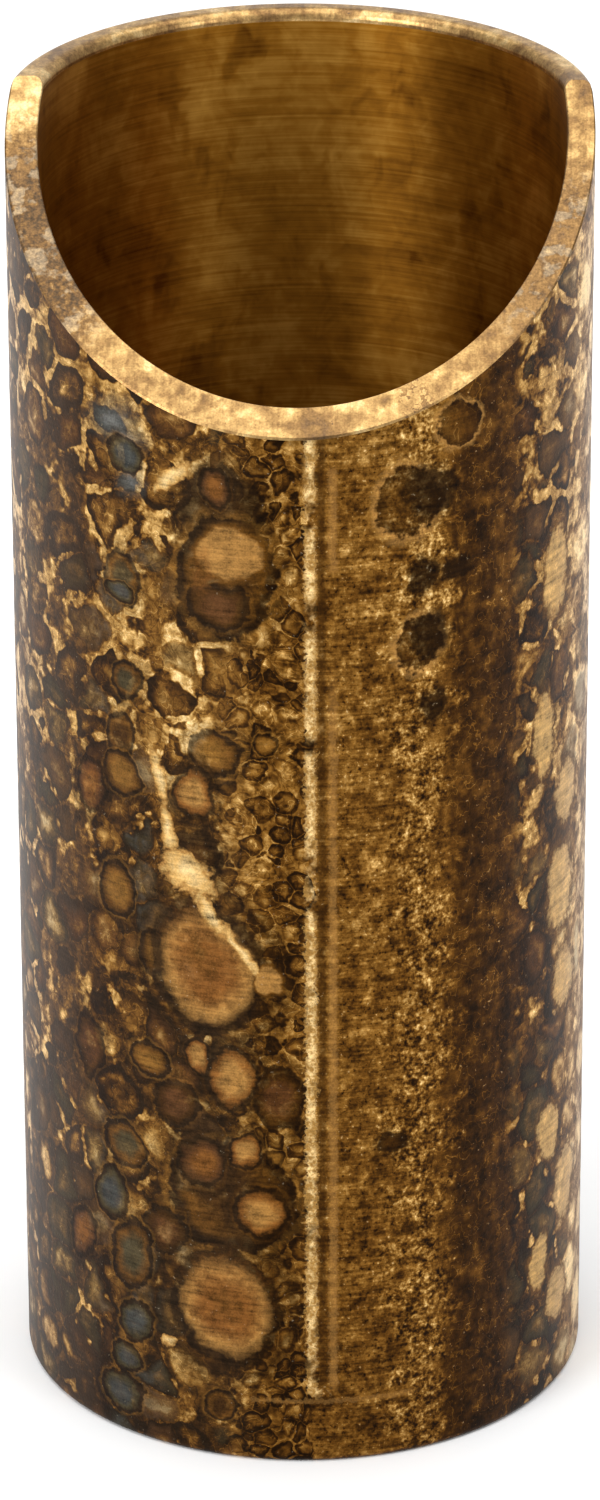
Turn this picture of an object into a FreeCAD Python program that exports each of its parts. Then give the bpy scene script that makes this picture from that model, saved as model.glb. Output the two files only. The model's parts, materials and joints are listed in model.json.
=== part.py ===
import FreeCAD, Part
import math
import os
import Sketcher
from FreeCAD import Vector

# A finger slide for guitar: one length of brass tube, square at the base and cut away on a slant
# at the top front, so that the finger inside it can still bend.
#
# Frame: millimetres, +Z up the tube, origin in the middle of the square base.
# The slanted cut faces -Y, and the YZ plane is the part's mirror plane.

NODE = "slide_tube"
SHEET = "sizes"

# Driving dimensions: cell alias, value, what it sets. Lengths are in millimetres.
DIMENSIONS = (
    ("outer_diameter", 25.4, "outside of the tube: one inch"),
    ("bore_diameter", 22.8, "straight finger bore, open at both ends"),
    ("tube_length", 60.0, "base to the uncut back of the rim"),
    ("cut_start", 2.3, "distance behind the axis of the line where the slanted cut starts"),
    ("cut_angle", 35.7, "degrees between the slanted cut and the square end"),
    ("cut_margin", 3.0, "how far the cutting sketch reaches past the tube"),
    ("rim_outer_round", 0.30, "easing of the rim's outer edge, left uncut at the back"),
    ("rim_inner_round", 0.50, "larger easing of the rim's inner edge, where the finger goes in"),
    ("base_round", 0.30, "easing of both edges of the base"),
)
SIZE = {alias: value for alias, value, _ in DIMENSIONS}
SAME = 1e-6  # two lengths closer than this are one
CUT_TAKES = (0.02, 0.25)  # the least and the greatest share of the tube that the cut should remove


def make_sheet(doc):
    """The spreadsheet that holds the driving dimensions."""
    sheet = doc.addObject("Spreadsheet::Sheet", SHEET)
    for row, (alias, value, meaning) in enumerate(DIMENSIONS, start=1):
        sheet.set("A%d" % row, alias)
        sheet.set("B%d" % row, str(value))
        sheet.set("C%d" % row, meaning)
        sheet.setAlias("B%d" % row, alias)
    doc.recompute()
    return sheet


def sketch_on(body, role, name):
    """A sketch of the body's own, laid on the origin plane that has this role."""
    plane = next(f for f in body.Origin.OriginFeatures if f.Role == role)
    sketch = body.newObject("Sketcher::SketchObject", name)
    sketch.AttachmentSupport = [(plane, "")]
    sketch.MapMode = "FlatFace"
    return sketch


def drive(sketch, constraint, formula):
    """Add a named constraint to the sketch and bind its value to the spreadsheet."""
    index = sketch.addConstraint(constraint)
    name = "dim%d" % index
    sketch.renameConstraint(index, name)
    sketch.setExpression("Constraints." + name, formula)


def ring_sketch(body):
    """The tube's cross-section: two circles about the origin."""
    sketch = sketch_on(body, "XY_Plane", "ring_section")
    for alias in ("outer_diameter", "bore_diameter"):
        circle = sketch.addGeometry(Part.Circle(Vector(0, 0, 0), Vector(0, 0, 1), SIZE[alias] / 2))
        sketch.addConstraint(Sketcher.Constraint("Coincident", circle, 3, -1, 1))
        drive(sketch, Sketcher.Constraint("Diameter", circle, SIZE[alias]), "%s.%s" % (SHEET, alias))
    return sketch


def cut_sketch(body):
    """The wedge that is cut away, in side view: a triangle whose long side is the slanted cut."""
    sketch = sketch_on(body, "YZ_Plane", "slanted_cut")
    slope = math.tan(math.radians(SIZE["cut_angle"]))
    front = SIZE["outer_diameter"] / 2 + SIZE["cut_margin"]
    top = SIZE["tube_length"] + SIZE["cut_margin"]
    corner = Vector(-front, top, 0)
    high = Vector(SIZE["cut_start"] + SIZE["cut_margin"] / slope, top, 0)
    low = Vector(-front, SIZE["tube_length"] - (front + SIZE["cut_start"]) * slope, 0)
    roof = sketch.addGeometry(Part.LineSegment(corner, high))
    slant = sketch.addGeometry(Part.LineSegment(high, low))
    face = sketch.addGeometry(Part.LineSegment(low, corner))
    for first, second in ((roof, slant), (slant, face), (face, roof)):
        sketch.addConstraint(Sketcher.Constraint("Coincident", first, 2, second, 1))
    sketch.addConstraint(Sketcher.Constraint("Horizontal", roof))
    sketch.addConstraint(Sketcher.Constraint("Vertical", face))
    s = SHEET
    reach = "(%s.outer_diameter / 2 + %s.cut_margin)" % (s, s)
    roof_height = "%s.tube_length + %s.cut_margin" % (s, s)
    high_y = "%s.cut_start + %s.cut_margin / tan(%s.cut_angle)" % (s, s, s)
    low_height = "%s.tube_length - (%s + %s.cut_start) * tan(%s.cut_angle)" % (s, reach, s, s)
    drive(sketch, Sketcher.Constraint("DistanceX", roof, 1, -1, 1, front), reach)
    drive(sketch, Sketcher.Constraint("DistanceY", -1, 1, roof, 1, top), roof_height)
    drive(sketch, Sketcher.Constraint("DistanceX", -1, 1, roof, 2, high.x), high_y)
    drive(sketch, Sketcher.Constraint("DistanceY", -1, 1, slant, 2, low.y), low_height)
    return sketch


def round_edges(body, base, name, alias, wanted):
    """Ease the circular edges of the last feature that have a wanted (radius, height)."""
    names = []
    for number, edge in enumerate(base.Shape.Edges, start=1):
        if not isinstance(edge.Curve, Part.Circle):
            continue
        here = (edge.Curve.Radius, edge.Curve.Center.z)
        if any(abs(here[0] - r) < SAME and abs(here[1] - z) < SAME for r, z in wanted):
            names.append("Edge%d" % number)
    fillet = body.newObject("PartDesign::Fillet", name)
    fillet.Base = (base, names)
    fillet.setExpression("Radius", "%s.%s" % (SHEET, alias))
    body.Document.recompute()
    return fillet


def slide_tube(doc):
    """The slide: a tube with eased ends, whose top front is then cut away on a slant."""
    body = doc.addObject("PartDesign::Body", NODE)
    body.Label = NODE
    tube = body.newObject("PartDesign::Pad", "tube")
    tube.Profile = ring_sketch(body)
    tube.setExpression("Length", SHEET + ".tube_length")
    doc.recompute()

    outer, bore, top = SIZE["outer_diameter"] / 2, SIZE["bore_diameter"] / 2, SIZE["tube_length"]
    eased = round_edges(body, tube, "base_edges", "base_round", ((outer, 0), (bore, 0)))
    eased = round_edges(body, eased, "rim_outer_edge", "rim_outer_round", ((outer, top),))
    eased = round_edges(body, eased, "rim_inner_edge", "rim_inner_round", ((bore, top),))

    cut = body.newObject("PartDesign::Pocket", "finger_cutaway")
    cut.Profile = cut_sketch(body)
    cut.Type = "ThroughAll"
    cut.Midplane = True
    doc.recompute()
    body.Tip = cut
    doc.recompute()
    check_removed(eased.Shape.Volume, cut.Shape.Volume)
    return body


def check_removed(before, after):
    """The cut-away takes a real bite out of the tube, and not most of it."""
    share = 1 - after / before
    least, greatest = CUT_TAKES
    if not least < share < greatest:
        raise RuntimeError("the slanted cut removes %.1f %% of the tube" % (100 * share))
    print("slanted cut removes %.1f %% of the brass, %.0f mm3 left" % (100 * share, after))


def check(doc, subparts):
    """Stop before anything is written if an object failed or a shape isn't one sound solid."""
    for obj in doc.Objects:
        if "Invalid" in obj.State or "Error" in obj.State:
            raise RuntimeError("%s: %s" % (obj.Label, obj.State))
    for part in subparts:
        if part.Shape.isNull() or not part.Shape.isValid() or len(part.Shape.Solids) != 1:
            raise RuntimeError("%s is not one valid solid" % part.Label)


def write(subparts):
    """One STEP file for each sub-part, named after it."""
    os.makedirs("parts", exist_ok=True)
    for part in subparts:
        part.Shape.exportStep("parts/%s.step" % part.Label)


document = FreeCAD.newDocument("guitar_slide")
make_sheet(document)
pieces = [slide_tube(document)]
document.recompute()
check(document, pieces)
write(pieces)
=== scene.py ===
import json
import math

import bpy
import numpy as np
from mathutils import Matrix, Vector, noise


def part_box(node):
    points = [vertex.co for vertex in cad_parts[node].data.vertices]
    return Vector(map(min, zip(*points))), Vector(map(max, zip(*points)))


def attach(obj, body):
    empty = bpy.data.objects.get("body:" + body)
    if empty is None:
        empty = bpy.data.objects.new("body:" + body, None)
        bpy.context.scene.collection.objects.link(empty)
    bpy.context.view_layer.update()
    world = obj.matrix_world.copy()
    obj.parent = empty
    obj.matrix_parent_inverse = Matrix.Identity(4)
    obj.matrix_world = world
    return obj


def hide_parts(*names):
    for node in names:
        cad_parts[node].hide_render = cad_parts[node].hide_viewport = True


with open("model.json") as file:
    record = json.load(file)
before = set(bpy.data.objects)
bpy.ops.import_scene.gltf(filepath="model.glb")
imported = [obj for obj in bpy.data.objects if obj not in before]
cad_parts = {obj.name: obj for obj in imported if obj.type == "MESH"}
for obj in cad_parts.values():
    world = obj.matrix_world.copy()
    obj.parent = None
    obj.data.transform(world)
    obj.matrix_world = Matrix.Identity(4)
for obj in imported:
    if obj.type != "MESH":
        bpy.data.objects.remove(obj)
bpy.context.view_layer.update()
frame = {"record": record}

MM = 0.001

# ---------------------------------------------------------------------------------------------
# The brass tube. A length of drawn one-inch tube, its ends eased with a file, its bore turned, and
# the top front cut off on one flat slant so that the finger can bend. It is a single closed skin:
# up the outside, over the rim, down the bore and across the square base.
# ---------------------------------------------------------------------------------------------
mounts = {mount["name"]: mount for mount in frame["record"]["mounts"]}
OUTER = mounts["outer_wall"]["dims"]["r_mm"]
BORE = mounts["finger_bore"]["dims"]["r_mm"]
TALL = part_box("slide_tube")[1][2] / MM
CUT_START = 2.3  # behind the axis
CUT_SLOPE = math.tan(math.radians(35.7))
EASE_RIM_OUTSIDE = 0.30
EASE_RIM_INSIDE = 0.50
EASE_BASE = 0.30
BURR = 0.06  # the cut's two edges, broken with a touch of the file
BORE_DRIFT = Vector((0.10, 0.08))  # drawn tube is never quite even: the bore sits a little off centre

# The mark left in the patina by a strap: a raised bright line with a groove and a fainter line beside it.
LINE_AT, GROOVE_AT, SECOND_LINE_AT = 0.78, 1.26, 1.74  # round the outside from the front, in mm
LINE_FOOT = 3.4  # height at which the line turns away to the right
FOOT_SHARPNESS = 6  # how quickly the line's relief ends there
STRAP_LINES = (  # each line's place, how wide it is either side, and how far it stands off the wall
    (LINE_AT, 0.17, 0.055),
    (GROOVE_AT, 0.16, -0.035),
    (SECOND_LINE_AT, 0.13, 0.020),
)
LINE_KEPT, LINE_WEAR = 0.7, 0.5  # how much of that relief is left, and how much it comes and goes
WEAR_PER_MM = 0.9  # how often it does so
WEAR_PLACE = (3, 7)  # any fixed place in the noise
PATINA_LUMPS = ((9, 0.7, 0.012), (30, 2.4, 0.010))  # lumps to a radian and to a mm of height, and their size

# The skin's points: columns of them round the tube, closer together by the strap's line, and rows.
FRONT_COLUMNS, BACK_COLUMNS = 250, 150
CROWDING = 2.5  # how many more columns lie by the line than elsewhere
CROWD_AT, CROWD_REACH = 0.055, 0.03  # shares of the way round from the front to the cut's corner
CROWD_STEPS = 2001
WALL_ROWS, BORE_ROWS = 150, 56
BASE_EASE_ROWS, OUTER_EASE_ROWS, INNER_EASE_ROWS, RIM_ROWS = 5, 6, 8, 5
FADES = 40  # the relief fades out over the last fortieth of the wall at each end
SHARP_EDGE = math.radians(32)
QUARTER_TURN = math.pi / 2


def crest(radius):
    """Height of the uncut rim at a radius, eased at its outer and inner edges."""
    outside = max(0.0, radius - (OUTER - EASE_RIM_OUTSIDE))
    inside = max(0.0, (BORE + EASE_RIM_INSIDE) - radius)
    fall_outside = EASE_RIM_OUTSIDE - math.sqrt(max(0.0, EASE_RIM_OUTSIDE ** 2 - outside ** 2))
    fall_inside = EASE_RIM_INSIDE - math.sqrt(max(0.0, EASE_RIM_INSIDE ** 2 - inside ** 2))
    return TALL - fall_outside - fall_inside


def corner_turn(radius):
    """Angle from the front to the corner where the slanted cut meets the rim, at a radius."""
    corner_y = CUT_START - (TALL - crest(radius)) / CUT_SLOPE
    return math.acos(-corner_y / radius)


def column_turns(radius):
    """Angles of the columns of points, close together by the patina's bright line."""
    steps = np.linspace(-1, 1, CROWD_STEPS)
    closeness = 1 + CROWDING * np.exp(-((steps - CROWD_AT) / CROWD_REACH) ** 2)
    share = np.cumsum(closeness) / closeness.sum()
    front = np.interp(np.linspace(share[0], 1, FRONT_COLUMNS, endpoint=False), share, steps)
    corner = corner_turn(radius)
    back = np.linspace(corner, 2 * math.pi - corner, BACK_COLUMNS, endpoint=False)
    return np.concatenate([front * corner, back])


def ripple(turn, height):
    """How far the patina and the strap's lines stand off the true outside of the tube."""
    stand = 0
    for around_tube, up_tube, size in PATINA_LUMPS:
        spot = Vector((math.sin(turn) * around_tube, math.cos(turn) * around_tube, height * up_tube))
        stand += size * noise.noise(spot)
    along = math.remainder(turn, 2 * math.pi) * OUTER
    above_foot = 1 / (1 + math.exp(-(height - LINE_FOOT) * FOOT_SHARPNESS))
    kept = LINE_KEPT + LINE_WEAR * noise.noise(Vector((*WEAR_PLACE, height * WEAR_PER_MM)))
    for place, half_width, relief in STRAP_LINES:
        stand += relief * kept * above_foot * math.exp(-((along - place) / half_width) ** 2)
    return stand


def ring_of_points(radius, heights, turns, stand=None):
    """One row of points round the tube. The bore's rows drift off centre with the bore."""
    drift = BORE_DRIFT * (OUTER - radius) / (OUTER - BORE)
    row = []
    for number, (turn, height) in enumerate(zip(turns, heights)):
        out = radius + (stand[number] if stand else 0)
        row.append((out * math.sin(turn) + drift.x, -out * math.cos(turn) + drift.y, height))
    return row


def rim_height(radius, turn):
    """Height of the rim: the slanted cut at the front and the uncut crest at the back."""
    on_cut = TALL - (CUT_START + radius * math.cos(turn)) * CUT_SLOPE
    broken_edge = BURR * max(0.0, 1 - min(OUTER - radius, radius - BORE) / BURR)
    return min(crest(radius), on_cut - broken_edge)


def tube_rows():
    """Every row of points from the foot of the outside round to the foot of the bore, with its finish."""
    rows = []
    base_ease = np.linspace(0, QUARTER_TURN, BASE_EASE_ROWS)
    turns = column_turns(OUTER)
    for turned in base_ease[::-1][:-1]:
        radius = OUTER - EASE_BASE * (1 - math.cos(turned))
        heights = [EASE_BASE * (1 - math.sin(turned))] * len(turns)
        rows.append(("patina", ring_of_points(radius, heights, turns)))
    tops = [rim_height(OUTER, turn) for turn in turns]
    for share in np.linspace(0, 1, WALL_ROWS):
        heights = [EASE_BASE + (top - EASE_BASE) * share for top in tops]
        fade = min(1.0, share * FADES, (1 - share) * FADES)
        stand = [fade * ripple(turn, height) for turn, height in zip(turns, heights)]
        rows.append(("patina", ring_of_points(OUTER, heights, turns, stand)))
    outer_ease = np.linspace(0, QUARTER_TURN, OUTER_EASE_ROWS)[1:]
    inner_ease = np.linspace(0, QUARTER_TURN, INNER_EASE_ROWS)
    outside = [OUTER - EASE_RIM_OUTSIDE * (1 - math.cos(turned)) for turned in outer_ease]
    inside = [BORE + EASE_RIM_INSIDE * (1 - math.sin(turned)) for turned in inner_ease]
    flat = list(np.linspace(outside[-1], inside[0], RIM_ROWS)[1:-1])
    for radius in [OUTER - BURR] + outside[1:] + flat + inside[:-1] + [BORE + BURR / 3, BORE]:
        turns = column_turns(radius)
        rows.append(("rim", ring_of_points(radius, [rim_height(radius, turn) for turn in turns], turns)))
    turns = column_turns(BORE)
    tops = [rim_height(BORE, turn) for turn in turns]
    for share in np.linspace(1, 0, BORE_ROWS + 1)[1:]:
        heights = [EASE_BASE + (top - EASE_BASE) * share for top in tops]
        rows.append(("bore", ring_of_points(BORE, heights, turns)))
    for turned in base_ease[1:]:
        radius = BORE + EASE_BASE * (1 - math.cos(turned))
        heights = [EASE_BASE * (1 - math.sin(turned))] * len(turns)
        rows.append(("bore", ring_of_points(radius, heights, turns)))
    return rows


def closed_skin(name, rows, finishes):
    """Join neighbouring rows with four-sided faces, the last to the first, each in its row's finish."""
    across = len(rows[0][1])
    points = [tuple(value * MM for value in point) for _, row in rows for point in row]
    faces, marks = [], []
    for number in range(len(rows)):
        after = (number + 1) % len(rows)
        for column in range(across):
            beside = (column + 1) % across
            faces.append((number * across + column, number * across + beside,
                          after * across + beside, after * across + column))
            marks.append(finishes.index(rows[after][0]))
    mesh = bpy.data.meshes.new(name)
    mesh.from_pydata(points, [], faces)
    mesh.polygons.foreach_set("material_index", marks)
    mesh.polygons.foreach_set("use_smooth", [True] * len(faces))
    mesh.update()
    mesh.set_sharp_from_angle(angle=SHARP_EDGE)
    tube = bpy.data.objects.new(name, mesh)
    bpy.context.scene.collection.objects.link(tube)
    return tube


FINISHES = ["patina", "rim", "bore"]
slide = closed_skin("slide", tube_rows(), FINISHES)
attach(slide, "root")
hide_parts("slide_tube")


# ---------------------------------------------------------------------------------------------
# The patina on the outside: brass darkened as if in a bubbling bath, whose bubbles left dark ringed
# cells with bright metal in the gaps. One side looks as if a strap had kept the bath off: it is
# smooth and olive-brown, between a bright line and a rough gold band.
# ---------------------------------------------------------------------------------------------
class Wire:
    """A socket in a material. Arithmetic on it adds Math nodes, and node() adds any other node."""

    def __init__(self, socket):
        self.socket = socket
        self.tree = socket.id_data

    def node(self, kind, settings=None, sockets=None, gives=0):
        """Add a node to the wire's tree: its settings first, then values or wires for its sockets."""
        added = self.tree.nodes.new("ShaderNode" + kind)
        for name, value in (settings or {}).items():
            if name == "stops":
                self.set_stops(added.color_ramp, value)
            else:
                setattr(added, name, value)
        for name, value in (sockets or {}).items():
            if isinstance(value, Wire):
                self.tree.links.new(value.socket, added.inputs[name])
            else:
                added.inputs[name].default_value = value
        return Wire(added.outputs[gives])

    def set_stops(self, ramp, stops):
        """Give a colour ramp these stops: position, colour and how solid it is there."""
        while len(ramp.elements) < len(stops):
            ramp.elements.new(1)
        for element, (position, colour, solid) in zip(ramp.elements, stops):
            element.position = position
            element.color = (*colour, solid)

    def beside(self, gives):
        """Another output of the node that this wire comes from."""
        return Wire(self.socket.node.outputs[gives])

    def maths(self, operation, *values):
        """Add a Math node, with the values or wires in the order of its sockets."""
        return self.node("Math", {"operation": operation}, dict(enumerate(values)))

    def __add__(self, other):
        return self.maths("ADD", self, other)

    def __radd__(self, other):
        return self.maths("ADD", other, self)

    def __sub__(self, other):
        return self.maths("SUBTRACT", self, other)

    def __rsub__(self, other):
        return self.maths("SUBTRACT", other, self)

    def __mul__(self, other):
        return self.maths("MULTIPLY", self, other)

    def __rmul__(self, other):
        return self.maths("MULTIPLY", other, self)

    def __pow__(self, other):
        return self.maths("POWER", self, other)

    def __abs__(self):
        return self.maths("ABSOLUTE", self)


def rise(value, low, high, top=1):
    """0 below low, top above high, and a smooth rise between them. It falls if low is the greater."""
    return value.node("MapRange", {"interpolation_type": "SMOOTHSTEP"},
                      {"Value": value, "From Min": low, "From Max": high, "To Max": top})


def hump(value, middle, half_width, edge):
    """1 within half_width of middle, falling to 0 over the edge's width outside it."""
    return rise(abs(value - middle), half_width + edge, half_width)


def either(first, second):
    """The greater of two numbers."""
    return first.maths("MAXIMUM", first, second)


def swing(pattern, reach):
    """Noise as a number that swings about 0 instead of about a half, by up to half of reach."""
    return (pattern - 0.5) * reach


def blend(share, first, second):
    """A number that goes from the first to the second as share goes from 0 to 1."""
    return share.node("Mix", None, {0: share, 2: first, 3: second})


def mixed(share, first, second):
    """A colour that goes from the first to the second as share goes from 0 to 1."""
    ends = [value if isinstance(value, Wire) else (*value, 1) for value in (first, second)]
    return share.node("Mix", {"data_type": "RGBA"}, {0: share, 6: ends[0], 7: ends[1]}, gives=2)


def shaded(colour, strength):
    """A colour made lighter or darker all over by a wire of numbers."""
    return strength.node("VectorMath", {"operation": "SCALE"}, {0: colour, "Scale": strength})


def stretched(place, across, deep, tall):
    """The same place with each direction scaled, so that a pattern on it is stretched."""
    return place.node("VectorMath", {"operation": "MULTIPLY"}, {0: place, 1: (across, deep, tall)})


def cloud(place, size, detail=3, roughness=0.55):
    """Soft noise between about 0.3 and 0.7, whose patches are about size mm across."""
    return place.node("TexNoise", None,
                      {"Vector": place, "Scale": 1 / size, "Detail": detail, "Roughness": roughness})


def bent(place, size, reach):
    """The place pushed about by noise, so that an outline drawn on it wanders by about reach mm."""
    push = cloud(place, size, detail=2).beside("Color")
    push = push.node("VectorMath", {"operation": "SUBTRACT"}, {0: push, 1: (0.5, 0.5, 0.5)})
    push = push.node("VectorMath", {"operation": "SCALE"}, {0: push, "Scale": 4 * reach})
    return push.node("VectorMath", {"operation": "ADD"}, {0: place, 1: push})


def srgb(red, green, blue):
    """A colour given on a screen's scale, from 0 to 255, as the linear numbers a shader takes."""
    return tuple((value / 255) ** 2.2 for value in (red, green, blue))


def new_finish(name):
    """A material with one Principled shader, and the wire that gives a point's place on it in mm."""
    material = bpy.data.materials.new(name)
    material.use_nodes = True
    shader = material.node_tree.nodes["Principled BSDF"]
    place = Wire(shader.inputs["Base Color"]).node("TexCoord").beside("Object")
    place = place.node("VectorMath", {"operation": "SCALE"}, {0: place, "Scale": 1 / MM})
    return material, shader, place


def feed(shader, **wires):
    """Connect wires to the shader's sockets, whose names are given with _ for a space."""
    for name, wire in wires.items():
        wire.tree.links.new(wire.socket, shader.inputs[name.replace("_", " ")])


def around(place):
    """How far round the outside a place is, in mm to the right of the front, and its height."""
    x = place.node("SeparateXYZ", None, {0: place})
    y, z = x.beside(1), x.beside(2)
    return x.maths("ARCTAN2", x, y * -1) * OUTER, z


SOOT = srgb(36, 23, 9)
UMBER = srgb(62, 39, 14)
BROWN = srgb(96, 63, 24)
OLIVE = srgb(126, 88, 38)
TAN = srgb(158, 119, 64)
GOLD = srgb(196, 155, 92)
CREAM = srgb(232, 198, 138)
HONEY = srgb(154, 112, 60)
COPPER = srgb(118, 75, 34)
RUST = srgb(84, 54, 30)
PLUM = srgb(84, 66, 50)
TEAL = srgb(70, 62, 42)
STEEL = srgb(64, 66, 64)
SKY = srgb(114, 116, 114)
SILVER = srgb(176, 160, 134)

LARGE_BUBBLE, SMALL_BUBBLE = 2.1, 0.95
STRAP_LEFT, STRAP_RIGHT = LINE_AT, 10.8  # its two edges, round the outside from the front
SOFT_EDGE, SOFTER_EDGE = 0.05, 0.6  # how far each of them is blurred, either way

patina, skin, place = new_finish("patina")
grain = cloud(place, 0.08, detail=1)
speck = cloud(place, 0.17, detail=2)
patches = cloud(place, 0.5)
mottle = cloud(place, 1.2)
drift = cloud(place, 4)
brushing = cloud(stretched(place, 0.4, 0.4, 6), 1.0, detail=2)
scuffs = cloud(stretched(place, 1, 1, 0.35), 0.4)
wander = bent(bent(place, 2.2, 0.28), 0.5, 0.08)
threads = cloud(wander, 0.9, detail=2)
along, height = around(wander)


class Cells:
    """Bubbles about size mm across. gap is above 0 between them and below 0 inside; chance is random."""

    def __init__(self, place, size, gap_width, roundness):
        sockets = {"Vector": place, "Scale": 1 / size}
        reach = place.node("TexVoronoi", None, sockets)
        edge = place.node("TexVoronoi", {"feature": "DISTANCE_TO_EDGE"}, sockets)
        random = reach.node("SeparateColor", None, {0: reach.beside("Color")})
        self.chance = [random.beside(number) for number in range(3)]
        self.gap = either(gap_width - edge * size, reach * size - size / roundness)
        self.outline = rise(self.gap, -0.24 * size, -0.04 * size)
        rings = reach * 16 + self.chance[1] * 6
        self.rings = rings.maths("SINE", rings)


# Where the bath reached: all round but for a strap's width on the front right. Its bubbles are fine
# by the line and duller at the far left. At the far right they are lightened by a painted reflection of a
# light at the right.
left_of_strap = rise(along, STRAP_LEFT + SOFT_EDGE, STRAP_LEFT - SOFT_EDGE)
right_of_strap = rise(along, STRAP_RIGHT - SOFTER_EDGE, STRAP_RIGHT + SOFTER_EDGE)
bath = either(left_of_strap, right_of_strap)
fine_side = rise(along, -3.6, -2.2) * rise(along, 6, 4)
far_left = rise(along, -8.8, -11.0) * rise(along, -30, -24)
# Far round to the right: a painted reflection of a light at the right, which lightens the bubbles and the
# gaps there.
far_right_reflection = rise(along, 13.8, 16.4) * rise(along, 24, 19)

# The two sizes of bubble. Where the metal is bare, the gaps between them are wider and brighter.
bare = rise(drift * 0.4 + mottle * 0.6 + rise(height, 27, 35) * 0.06, 0.51, 0.59)
large = Cells(wander, LARGE_BUBBLE, 0.03 + bare * 0.16, 1.55)
small = Cells(wander, SMALL_BUBBLE, 0.02 + bare * 0.05, 1.6)

BUBBLE_EDGE = 0.6  # where a bubble's own edge comes in its colours, which run from 0 to 1


def off_middle(spot, angle, up, wide, tall, lean):
    """How far a spot is from a bubble's middle, as a share of the way across its colours.

    The middle is at an angle from the front and so far up, and the bubble leans by an angle too.
    Lengths are in mm and angles in degrees.
    """
    middle = Vector((math.radians(angle) * OUTER, up))
    turn = math.radians(lean)
    ways = (Vector((math.cos(turn), math.sin(turn))) * 2 * BUBBLE_EDGE / wide,
            Vector((-math.sin(turn), math.cos(turn))) * 2 * BUBBLE_EDGE / tall)
    offsets = {}
    for axis, way in enumerate(ways):
        sockets = {0: spot, 1: (*way, -way.dot(middle))}
        offsets[axis] = spot.node("VectorMath", {"operation": "DOT_PRODUCT"}, sockets, gives=1)
    offset = spot.node("CombineXYZ", None, offsets)
    return offset.node("VectorMath", {"operation": "LENGTH"}, {0: offset}, gives=1)


def off_nearest(spot, bubbles):
    """The same for the nearest of several, given by angle, height, width, length and lean."""
    nearest = off_middle(spot, *bubbles[0])
    for place_and_size in bubbles[1:]:
        nearest = nearest.maths("MINIMUM", nearest, off_middle(spot, *place_and_size))
    return nearest


# Places where the bath was thin and left the metal lighter, bubbles and all.
WORN = (
    (-33, 47.5, 5.0, 4.4, 0), (-22, 38.6, 4.6, 2.6, 15), (-29, 40.5, 2.6, 4.6, 15),
    (-23, 35.6, 3.0, 3.4, -20), (-31, 34.0, 2.2, 4.4, 10), (-40, 44.0, 2.4, 6.0, 5),
    (24, 49.0, 6.0, 3.0, 0), (45, 41.5, 1.6, 3.2, -20),
)
spot = along.node("CombineXYZ", None, {0: along, 1: height, 2: 1})
worn = rise(off_nearest(spot, WORN) + swing(patches, 0.5), 0.75, 0.25)

# How light the metal is, from 0 for the darkest patina to 1 for bare brass: first inside the large
# bubbles and between them, then the same for the small ones, which crowd to the left of the line
# and lie in patches higher up.
# At the far right the fill and the gaps are lightened by the painted reflection.
fill = 0.27 + rise(large.chance[0], 0.42, 0.95, top=0.36) + far_right_reflection * 0.56 + large.rings * 0.08
fill = fill + swing(patches, 0.5) + swing(mottle, 0.4)
fill = fill - large.outline * (0.34 + far_left * 0.16) + far_left * 0.10
fill = fill + rise(large.gap, -0.40, -0.72) * (large.chance[2] * 0.5 - 0.05)
between = 0.31 + bare * 0.38 + swing(patches, 0.9) + swing(speck, 0.3)
between = between + far_right_reflection * 0.12 + far_left * 0.08
open_gap = 0.5 + either(bare, far_left * 0.8) * 0.5
wide_tone = blend(rise(large.gap, -0.05, 0.05) * open_gap, fill, between)
small_fill = 0.40 + rise(small.chance[0], 0.4, 0.9, top=0.30) + swing(patches, 0.8)
small_fill = small_fill - small.outline * 0.38 + small.rings * 0.07
small_tone = blend(rise(small.gap, -0.02, 0.03), small_fill, 0.50 + swing(patches, 1.2))
high_up = rise(mottle, 0.56, 0.46) * rise(height, 18, 34, top=0.4)
tone = blend(fine_side * 0.85 + (1 - fine_side) * high_up, wide_tone, small_tone - 0.04)

# Then the worn places, fine light and dark threads, scuffs, and slow changes round and up the tube.
tone = tone + worn * 0.17
tone = tone + hump(threads, 0.44, 0.001, 0.010) * 0.22 - hump(threads, 0.53, 0.004, 0.02) * 0.14
tone = tone + far_left * (scuffs - 0.52) * 0.4 - hump(along, -11, 1, 2) * 0.08
tone = tone + hump(along, -3.6, 1.4, 1.6) * 0.075 - rise(height, 5, 2, top=0.08)

# The strap's side: smooth and brushed, a rough gold band at its far edge, then dark again.
smooth = 0.40 + swing(brushing, 0.4) + swing(patches, 0.8) + swing(mottle, 0.7) + swing(speck, 0.5)
smooth = smooth + rise(speck, 0.64, 0.76, top=0.2) - rise(speck, 0.38, 0.30, top=0.2)
rough = 0.43 + rise(height, 34, 42, top=0.08) + swing(speck, 1.5) + swing(patches, 1.6)
shadow = 0.18 + swing(scuffs, 0.3) + swing(patches, 0.5) + swing(mottle, 0.7)
shadow = shadow + rise(speck, 0.66, 0.74, top=0.3) + hump(threads, 0.46, 0.001, 0.012) * 0.22
strap = blend(rise(along + swing(mottle, 4), 6.0, 7.8), smooth, shadow) + worn * 0.12
strap = blend(hump(along + swing(mottle, 6), 5.7, 0.2, 1.6), strap, rough)
strap = strap - rise(height, 34, 8, top=0.05)
tone = blend(bath, strap, tone)

tones = ((0, SOOT, 1), (0.18, UMBER, 1), (0.34, BROWN, 1), (0.5, OLIVE, 1), (0.64, TAN, 1),
         (0.82, GOLD, 1), (1, CREAM, 1))
colour = tone.node("ValToRGB", {"stops": tones}, {0: tone})

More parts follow.
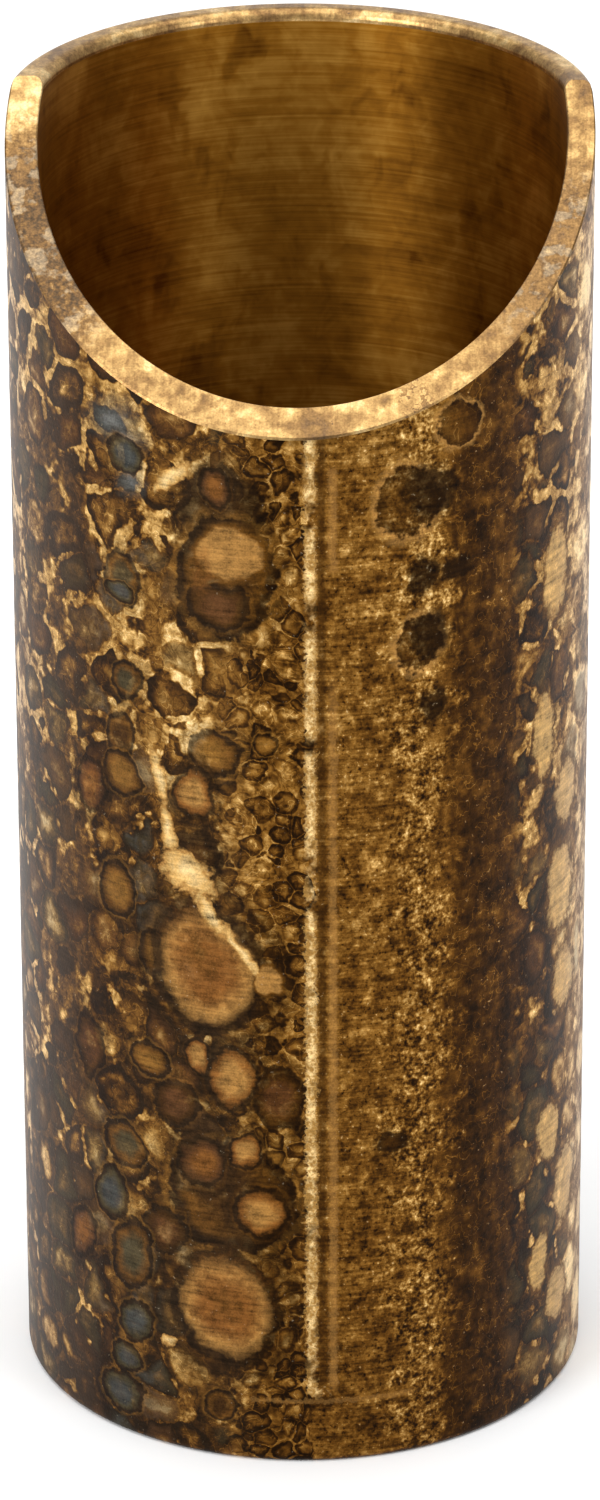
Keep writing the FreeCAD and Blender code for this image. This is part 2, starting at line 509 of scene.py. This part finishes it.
# Tints: plum at the far left, steel and teal cells in a column beside it, rust here and there.
colour = mixed(far_left * rise(tone, 0.7, 0.3, top=0.35), colour, PLUM)
within = rise(large.gap, 0.02, -0.3) * bath * (1 - fine_side)  # inside a large bubble
colour = mixed(rise(large.chance[1], 0.50, 0.60, top=0.45) * within, colour, TEAL)
blue_column = hump(along, -8.0, 0.6, 1.8) * within * rise(large.chance[1], 0.50, 0.60)
colour = mixed(blue_column * rise(patches, 0.35, 0.60, top=0.6), colour, STEEL)
colour = mixed(rise(large.chance[2], 0.60, 0.75, top=0.5) * within, colour, RUST)


def bubble(core, edge, lip, halo):
    """A bubble's colours from its middle outward: core, edge, a dark ring, a faint lip and a dark halo."""
    return ((0, core, 0.85), (0.26, core, 0.85), (0.45, edge, 0.85), (0.56, SOOT, 0.9), (0.64, SOOT, 0.85),
            (0.70, lip, 0.3), (0.76, SOOT, halo * 0.8), (1, SOOT, 0))


# The bubbles and bare patches that stand out, each listed. Later kinds lie over earlier
# ones: how ragged their outlines are, their colours from the middle outward, and where they lie.
RING = ((0, BROWN, 0.2), (0.35, UMBER, 0.4), (0.52, SOOT, 0.7), (0.60, HONEY, 0.8), (0.72, TAN, 0))
BLOT = ((0, SOOT, 0.95), (0.45, SOOT, 0.85), (0.7, UMBER, 0))
BLOOM = ((0, SKY, 0.8), (0.4, STEEL, 0.6), (0.8, STEEL, 0))
PALE = ((0, HONEY, 0.9), (0.48, HONEY, 0.9), (0.57, BROWN, 0.9), (0.75, SOOT, 0))
# Pale gold cells, whose lightness at the far right is partly a painted reflection.
PALER_AND_REFLECTION = ((0, GOLD, 0.7), (0.45, GOLD, 0.7), (0.57, BROWN, 0.8), (0.75, SOOT, 0))
DULLER = ((0, BROWN, 0.7), (0.35, COPPER, 0.5), (0.7, COPPER, 0))
BARE_METAL = ((0, CREAM, 0.9), (0.4, GOLD, 0.9), (0.56, HONEY, 0.8), (0.66, TAN, 0))
BUBBLES = (
    (1, bubble(UMBER, SOOT, SOOT, 0.5), (  # dark
        (-14, 45.8, 3.4, 3.6, 0), (-19, 29.4, 2.2, 2.4, 0), (20, 15.7, 1.4, 1.0, 0))),
    (0.7, bubble(UMBER, BROWN, OLIVE, 0.4), (  # dark with a lip
        (-13, 42.7, 4.1, 5.2, 5), (-13, 13.2, 5.4, 5.2, 0), (-15, 2.7, 1.5, 1.4, 0),
        (-36, 34.5, 1.5, 2.1, 0))),
    (1.5, RING, (
        (34, 49.3, 2.2, 2.0, 0), (23, 46.0, 3.2, 3.4, 0), (25, 39.5, 2.4, 2.6, 0))),
    (1.5, BLOT, (
        (28, 46.4, 3.3, 2.8, 0), (26, 42.5, 1.9, 2.0, 0), (33, 42.6, 1.7, 1.5, 0),
        (27, 39.7, 2.3, 2.3, 0), (28, 36.5, 1.5, 1.6, 0))),
    (1, bubble(RUST, UMBER, BROWN, 0.5), (  # rusty
        (-14, 41.4, 2.6, 2.2, 0), (-3, 18.2, 2.0, 3.1, 0), (-27, 10.9, 2.2, 2.4, -20),
        (-24, 17.4, 2.4, 2.0, 0), (-46, 19.0, 1.6, 3.2, 0))),
    (2, BLOOM, (
        (-37, 49.0, 3.0, 2.2, 20), (-33, 46.6, 1.6, 2.0, 0), (-33, 48.4, 2.0, 1.6, 0))),
    (1, bubble(TEAL, BROWN, OLIVE, 0.4), (  # teal
        (-35, 42.0, 1.6, 2.6, 0), (-34, 37.0, 1.6, 1.8, 0), (-37, 14.6, 2.2, 2.2, 0),
        (-35, 9.3, 2.2, 3.2, 0))),
    (1, bubble(STEEL, TEAL, OLIVE, 0.4), (  # blue
        (-34, 47.6, 2.0, 1.6, 0), (-36, 41.2, 1.2, 1.0, 0), (-40, 12.0, 1.8, 2.4, 0),
        (-34, 6.0, 1.9, 2.1, 0), (-37, 3.9, 1.7, 1.6, 0), (-38, 2.0, 2.4, 1.9, 0))),
    (1, bubble(OLIVE, BROWN, OLIVE, 0.5), (  # olive
        (-5, 35.2, 1.3, 1.1, 0), (-15, 34.5, 2.2, 2.2, 0), (-36, 32.6, 1.6, 2.0, 0),
        (-30, 19.2, 2.0, 1.5, -20), (-38, 27.0, 1.8, 2.6, 0), (-28, 24.5, 1.6, 2.2, 10))),
    (1, bubble(COPPER, RUST, UMBER, 0.8), (  # copper
        (-15, 46.8, 1.6, 1.7, 0), (-44, 31.7, 1.7, 2.5, -15), (-19, 14.7, 2.1, 2.5, 0),
        (-49, 9.2, 1.8, 2.7, -15))),
    (0.5, bubble(COPPER, HONEY, UMBER, 0.8), (  # the two great ones, copper and lighter at the edge
        (-17, 24.2, 4.8, 6.1, 12), (-14, 7.6, 4.8, 5.2, 0))),
    (1, bubble(HONEY, COPPER, UMBER, 0.8), (  # honey
        (-19, 32.4, 1.9, 2.4, 10), (-12, 19.0, 2.2, 2.9, -15), (-19, 19.9, 1.1, 1.6, 20),
        (-10, 15.4, 1.7, 1.6, 0), (-7, 12.6, 2.3, 2.4, 20))),
    (0.7, PALE, (
        (-12, 43.9, 3.1, 2.6, 0), (-5, 23.8, 1.4, 1.5, 0))),
    (2, PALER_AND_REFLECTION, (  # round to the far right: pale cells, made lighter by a painted reflection of a light at the right
        (58, 33.0, 1.6, 4.6, 0), (62, 40.5, 2.2, 4.6, 0), (66, 25.1, 2.8, 4.6, 0),
        (68, 29.6, 2.4, 3.2, 0), (68, 20.4, 2.6, 3.4, 0), (62, 13.2, 2.2, 3.0, 5),
        (70, 10.0, 2.4, 4.0, 0), (58, 7.0, 1.6, 3.2, -10), (66, 4.6, 2.4, 3.0, 0))),
    (3, DULLER, (  # within the great ones, and a streak higher up
        (-18.5, 24.9, 3.2, 4.4, 12), (-14, 8.0, 3.8, 4.2, 0), (-17, 43.0, 0.9, 2.4, -10))),
    (3, BARE_METAL, (
        (-24, 47.0, 2.2, 0.6, 42), (-27, 33.0, 0.8, 2.8, 14), (-25, 30.6, 0.7, 2.4, 10),
        (-21, 28.6, 3.0, 1.9, -38), (-16, 26.8, 2.6, 0.8, -50), (-10, 25.2, 3.4, 0.5, -62),
        (-26, 5.3, 0.6, 0.6, 0))),
)
uneven = swing(speck, 0.09) + swing(patches, 0.20) + small.rings * 0.015
inside = 0 * uneven
for ragged, stops, bubbles in BUBBLES:
    nearest = off_nearest(spot, bubbles) + uneven * ragged
    tint = nearest.node("ValToRGB", {"stops": stops}, {0: nearest})
    solid = tint.beside(1)
    inside = either(inside, solid)
    colour = mixed(solid, colour, tint)

# The strap's edge: the bright line that turns away at its foot, the groove and the fainter line.
CORNER = 0.6  # radius of the turn at the line's foot
LINE_END = 2.2  # how far round it has faded out
CRACK_BELOW = 0.3  # the thin crack runs on just below the line's foot
along, height = around(bent(place, 0.8, 0.04))
beside = either(LINE_AT + CORNER - along, 0 * along)
below = either(LINE_FOOT + CORNER - height, 0 * height)
off_line = abs((beside * beside + below * below) ** 0.5 - CORNER)
off_line = off_line + swing(speck, 0.7) + swing(patches, 0.3)
off_line = off_line + rise(along, LINE_AT + CORNER, LINE_END)
line = rise(off_line, 0.32, 0.16)
above_foot = rise(height, LINE_FOOT, LINE_FOOT + 0.8)
groove = hump(along, GROOVE_AT, 0.06, 0.20) * above_foot
broken = either(hump(height, 20, 16, 3), hump(height, 45.5, 2.2, 0.3))
second_line = rise(abs(along - SECOND_LINE_AT) + swing(speck, 0.5), 0.26, 0.08) * above_foot * broken
crack = rise(abs(height - LINE_FOOT + CRACK_BELOW) + swing(speck, 0.5), 0.16, 0.06)
crack = crack * hump(along, 1.6, 3.4, 0.8)
colour = mixed(groove * 0.65, colour, UMBER)
colour = mixed(either(second_line * 0.6, crack * 0.4), colour, HONEY)
bright = mixed(rise(speck + patches, 0.85, 1.30), TAN, CREAM)
colour = mixed(line * rise(mottle, 0.30, 0.50), colour, bright)

# Over it all a thin bloom left of the line and silvery specks, then the metal's grain and brushing,
# which show most inside the placed bubbles. Lighter metal is smoother.
colour = mixed(hump(along, -5.5, 2.5, 2) * 0.018 + rise(speck, 0.70, 0.76, top=0.3), colour, SILVER)
shade = 1 + swing(grain, 1.0) + swing(brushing, 0.8 + inside * 0.8) + swing(patches, 0.7 + inside)
colour = shaded(colour, shade)
metal = colour.node("RGBToBW", None, {0: colour})
metal = rise(metal, 0.02, 0.30)
bumps = grain * 0.5 + speck * 0.6
relief = bumps.node("Bump", None, {"Strength": 0.35, "Distance": 0.00004, "Height": bumps})
feed(skin, Base_Color=colour, Metallic=0.88 + metal * 0.1, Roughness=0.48 - metal * 0.14, Normal=relief)
skin.inputs["Specular IOR Level"].default_value = 0.2

# ---------------------------------------------------------------------------------------------
# The rim: brass laid bare by the slanted saw cut and the file, with brush lines running down the
# fall of the cut. Handling has since browned it, most of all below the left corner.
# ---------------------------------------------------------------------------------------------
rim, rim_skin, place = new_finish("rim")
along, height = around(bent(place, 0.8, 0.15))
grain = cloud(place, 0.09, detail=1)
speck = cloud(place, 0.2, detail=2)
patches = cloud(bent(place, 0.7, 0.2), 0.9)
mottle = cloud(place, 3)
brushing = cloud(stretched(place, 7, 0.5, 0.5), 1.0, detail=2)
handled = mottle * 0.4 + patches * 0.6
browned = rise(handled, 0.36, 0.50) * hump(along, -15.2, 3.6, 2.5)
browned = either(browned, rise(handled, 0.42, 0.54) * hump(along, 14.5, 2, 3) * 0.9)
reddened = hump(along, 1.1, 0.5, 0.6) * rise(height, TALL - 8, TALL - 9)
nicks = hump(along, 5.6, 0.5, 0.4) * rise(patches + swing(speck, 1), 0.50, 0.58)
tone = 0.58 + swing(patches, 1.5) + swing(mottle, 0.8) + swing(brushing, 0.3)
# The rim is lighter at its left corner: a painted highlight.
tone = tone + hump(along, -21.5, 2, 2) * 0.2
tone = tone - browned * (0.40 - swing(speck, 1.2)) - reddened * 0.2 - nicks * 0.4
tone = tone - rise(speck, 0.70, 0.76, top=0.35)
tones = ((0, UMBER, 1), (0.2, BROWN, 1), (0.4, OLIVE, 1), (0.55, TAN, 1), (0.75, GOLD, 1), (1, CREAM, 1))
colour = tone.node("ValToRGB", {"stops": tones}, {0: tone})
colour = mixed(0.15 + browned * rise(patches, 0.5, 0.6) * 0.4, colour, SILVER)
colour = shaded(colour, 1 + swing(speck, 0.6) + swing(grain, 1.0))
bumps = brushing + speck * 0.5
relief = bumps.node("Bump", None, {"Strength": 0.3, "Distance": 0.00003, "Height": bumps})
feed(rim_skin, Base_Color=colour, Roughness=0.34 + browned * 0.2, Normal=relief)
rim_skin.inputs["Metallic"].default_value = 0.9

# ---------------------------------------------------------------------------------------------
# The bore, turned and left with fine rings, and toned golden brown by the same bath. The rings
# spread the light up and down, so each lamp shows in the bore as an upright band of sheen.
# ---------------------------------------------------------------------------------------------
bore, bore_skin, place = new_finish("bore")
turning = cloud(stretched(place, 0.15, 0.15, 8), 1.0, detail=2)
patches = cloud(bent(place, 2, 0.8), 1.2)
mottle = cloud(bent(place, 3, 1), 4)
stains = rise(cloud(bent(stretched(place, 1, 1, 0.6), 2, 0.6), 2.4), 0.56, 0.70)
tone = 0.34 + swing(turning, 0.5) + swing(patches, 0.5) + swing(mottle, 0.9) - stains * 0.2
tones = ((0, srgb(100, 60, 12), 1), (0.35, srgb(156, 104, 32), 1), (0.65, srgb(196, 144, 62), 1),
         (1, srgb(236, 198, 128), 1))
colour = tone.node("ValToRGB", {"stops": tones}, {0: tone})
relief = turning.node("Bump", None, {"Strength": 0.2, "Distance": 0.00002, "Height": turning})
feed(bore_skin, Base_Color=colour, Normal=relief)
bore_skin.inputs["Metallic"].default_value = 0.9
bore_skin.inputs["Roughness"].default_value = 0.45
bore_skin.inputs["Anisotropic"].default_value = 0.8
bore_skin.inputs["Anisotropic Rotation"].default_value = 0.25

# The slide's finishes, in the order of FINISHES.
for finish in (patina, rim, bore):
    slide.data.materials.append(finish)

# ---------------------------------------------------------------------------------------------
# The floor: one sheet of white backdrop paper that the slide stands on. It lies flat well past the
# slide, and then curves up behind it so that no edge shows.
# ---------------------------------------------------------------------------------------------
PAPER_HALF_WIDTH = 0.9
PAPER_FRONT, PAPER_BACK = -0.7, 0.9
PAPER_CURVE = 0.25  # radius
PAPER_TOP = 1.2
CURVE_STEPS = 13

outline = [(PAPER_FRONT, 0)]
for turned in np.linspace(0, QUARTER_TURN, CURVE_STEPS):
    out = PAPER_BACK - PAPER_CURVE + PAPER_CURVE * math.sin(turned)
    outline.append((out, PAPER_CURVE - PAPER_CURVE * math.cos(turned)))
outline.append((PAPER_BACK, PAPER_TOP))
edges = [(side * PAPER_HALF_WIDTH, out, up) for out, up in outline for side in (-1, 1)]
strips = [(start, start + 1, start + 3, start + 2) for start in range(0, 2 * len(outline) - 2, 2)]
paper = bpy.data.meshes.new("paper")
paper.from_pydata(edges, [], strips)
for face in paper.polygons:
    face.use_smooth = True
floor = bpy.data.objects.new("paper", paper)
bpy.context.scene.collection.objects.link(floor)
white, white_skin, _ = new_finish("white_paper")
white_skin.inputs["Base Color"].default_value = (0.98, 0.98, 0.98, 1)
white_skin.inputs["Roughness"].default_value = 0.9
white_skin.inputs["Specular IOR Level"].default_value = 0.1
paper.materials.append(white)

# ---------------------------------------------------------------------------------------------
# The light: a plain white room, one wide soft lamp overhead, and a small one at each side in front,
# which the bore shows as two upright bands of sheen.
# ---------------------------------------------------------------------------------------------
ROOM_LIGHT = 0.47
LAMP_AIM = Vector((0, 0, 0.03))

world = bpy.data.worlds.new("studio")
bpy.context.scene.world = world
world.use_nodes = True
room = world.node_tree.nodes["Background"]
room.inputs["Color"].default_value = (1, 1, 1, 1)
room.inputs["Strength"].default_value = ROOM_LIGHT


def soft_lamp(name, place, width, power):
    """A square soft lamp that looks at the middle of the slide."""
    data = bpy.data.lights.new(name, "AREA")
    data.size = width
    data.energy = power
    lamp = bpy.data.objects.new(name, data)
    lamp.location = place
    toward = LAMP_AIM - Vector(place)
    lamp.rotation_euler = toward.to_track_quat("-Z", "Y").to_euler()
    bpy.context.scene.collection.objects.link(lamp)


soft_lamp("overhead", (0, 0, 0.8), 1.0, 6)
soft_lamp("left", (-0.5, -0.56, 0.5), 0.3, 3)
soft_lamp("right", (0.56, -0.5, 0.5), 0.2, 1)

# ---------------------------------------------------------------------------------------------
# The camera: in front of the slide and a little to the right, looking down on it from a third of a
# metre away, so that the slide fills the frame.
# ---------------------------------------------------------------------------------------------
CAMERA_ELEVATION = math.radians(24.33)
CAMERA_AZIMUTH = math.radians(1.9)
CAMERA_ROLL = math.radians(-0.19)
CAMERA_DISTANCE = 321.6 * MM
CAMERA_AIM = Vector((-0.085, 0, 29.2)) * MM
LENS_LENGTH, SENSOR_HEIGHT = 172.9, 36

lens = bpy.data.cameras.new("camera")
lens.sensor_fit = "VERTICAL"
lens.sensor_height = SENSOR_HEIGHT
lens.lens = LENS_LENGTH
camera = bpy.data.objects.new("camera", lens)
bpy.context.scene.collection.objects.link(camera)
bpy.context.scene.camera = camera
right = Vector((math.cos(CAMERA_AZIMUTH), math.sin(CAMERA_AZIMUTH), 0))
look = Vector((-math.sin(CAMERA_AZIMUTH) * math.cos(CAMERA_ELEVATION),
               math.cos(CAMERA_AZIMUTH) * math.cos(CAMERA_ELEVATION), -math.sin(CAMERA_ELEVATION)))
up = right.cross(look)
tilted = right * math.cos(CAMERA_ROLL) + up * math.sin(CAMERA_ROLL)
upright = up * math.cos(CAMERA_ROLL) - right * math.sin(CAMERA_ROLL)
facing = Matrix((tilted, upright, -look)).transposed()
camera.matrix_world = Matrix.Translation(CAMERA_AIM - look * CAMERA_DISTANCE) @ facing.to_4x4()
bpy.context.scene.view_settings.view_transform = "Standard"
